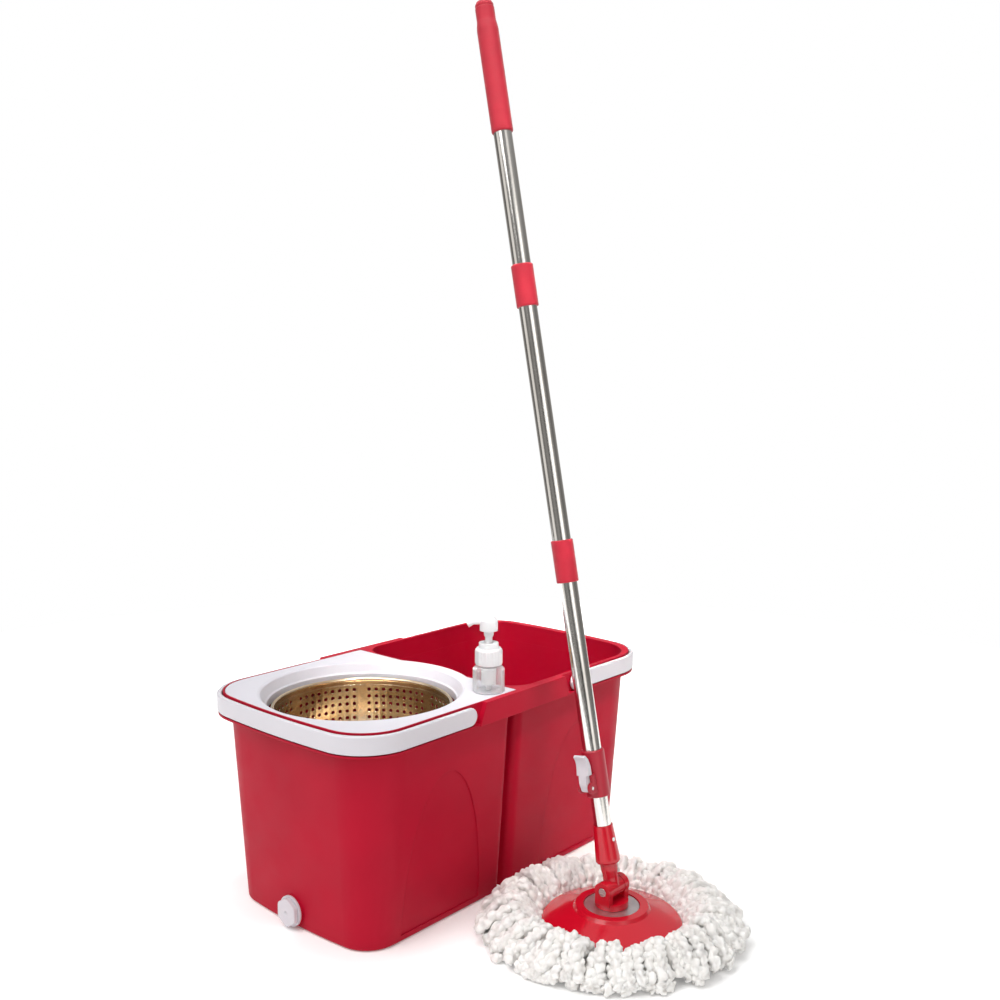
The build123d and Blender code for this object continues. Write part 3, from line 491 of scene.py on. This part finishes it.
def string_mesh(bm, path, radius, seed):
    """One fluffy string along a list of points, closed at both ends."""
    pile = bm.verts.layers.float["pile"]
    centres = [catmull(path, k / (STEPS - 1)) for k in range(STEPS)]
    rings = []
    side = Vector((0, 0, 1))
    for k, c in enumerate(centres):
        ahead = centres[min(k + 1, STEPS - 1)] - centres[max(k - 1, 0)]
        ahead.normalize()
        side = (side - ahead * side.dot(ahead)).normalized()
        other = ahead.cross(side)
        t = k / (STEPS - 1)
        past = max(0.0, (t - (1 - TIP)) / TIP)
        tip = math.sqrt(max(0.0, 1 - past ** 2))
        root = 0.6 + 0.4 * min(1.0, t / 0.3)
        ring = []
        for j in range(ROUND):
            a = 2 * math.pi * j / ROUND
            out = side * math.cos(a) + other * math.sin(a)
            full = fluff(c + out * (radius * root), seed)
            nap = NAP * noise.noise((c + out * radius) * NAP_RATE)
            p = c + out * (radius * root + BOBBLE * (full - 0.55) + nap) * (0.10 + 0.90 * tip)
            p.z = max(p.z, 0.0010 + 0.0006 * noise.noise(p * 300))
            vert = bm.verts.new(p)
            # the pile value is stored for the microfibre material, which uses it to paint shade into the
            # creases
            vert[pile] = full
            ring.append(vert)
        rings.append(ring)
    for a, b in zip(rings, rings[1:]):
        for j in range(ROUND):
            bm.faces.new((a[j], a[(j + 1) % ROUND], b[(j + 1) % ROUND], b[j]))
    bm.faces.new(list(reversed(rings[0])))
    bm.faces.new(rings[-1])


def string_path(rng, centre, reach, turn, profile):
    """Centre line of one string, leaving the ring at the given turn."""
    sway = rng.gauss(0, SWAY)
    lift = rng.uniform(-0.0045, 0.0040)
    grow = rng.uniform(0.96, 1.035)
    wave = rng.uniform(0, 6.28)
    ahead = max(0.0, FRONT.x * math.cos(turn) + FRONT.y * math.sin(turn))
    far = (reach - TRIM * ahead ** 1.2) * grow
    path = []
    for share, z in profile:
        a = turn + sway * share * share + 0.050 * share * math.sin(wave + 6.0 * share)
        r = ROOT + (far - ROOT) * share
        z = z + lift * math.sin(math.pi * share) + 0.0016 * math.sin(wave * 3 + 9 * share)
        path.append(centre + Vector((r * math.cos(a), r * math.sin(a), max(LOWEST, z))))
    return path


def make_strings(material):
    """The wreath of strings that stands in for the plain CAD ring."""
    low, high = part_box("mop_strings")
    centre = Vector(((low.x + high.x) / 2, (low.y + high.y) / 2, 0))
    reach = (high.x - low.x) / 2 - INSET
    rng = random.Random(11)
    bm = bmesh.new()
    bm.verts.layers.float.new("pile")
    seed = 0
    for count, thick, profile in LAYERS:
        for i in range(count):
            seed += 1
            turn = 2 * math.pi * (i + rng.uniform(-0.42, 0.42)) / count
            path = string_path(rng, centre, reach, turn, profile)
            string_mesh(bm, path, PILE * thick * rng.uniform(0.90, 1.10), seed)
    mesh = bpy.data.meshes.new("strings")
    bm.to_mesh(mesh)
    bm.free()
    mesh.polygons.foreach_set("use_smooth", [True] * len(mesh.polygons))
    strings = bpy.data.objects.new("strings", mesh)
    bpy.context.scene.collection.objects.link(strings)
    strings.data.materials.append(material)
    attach(strings, "mop_head")
    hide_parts("mop_strings")


make_camera()
make_studio()
looks = dress_nodes()
make_strings(looks["microfibre"])
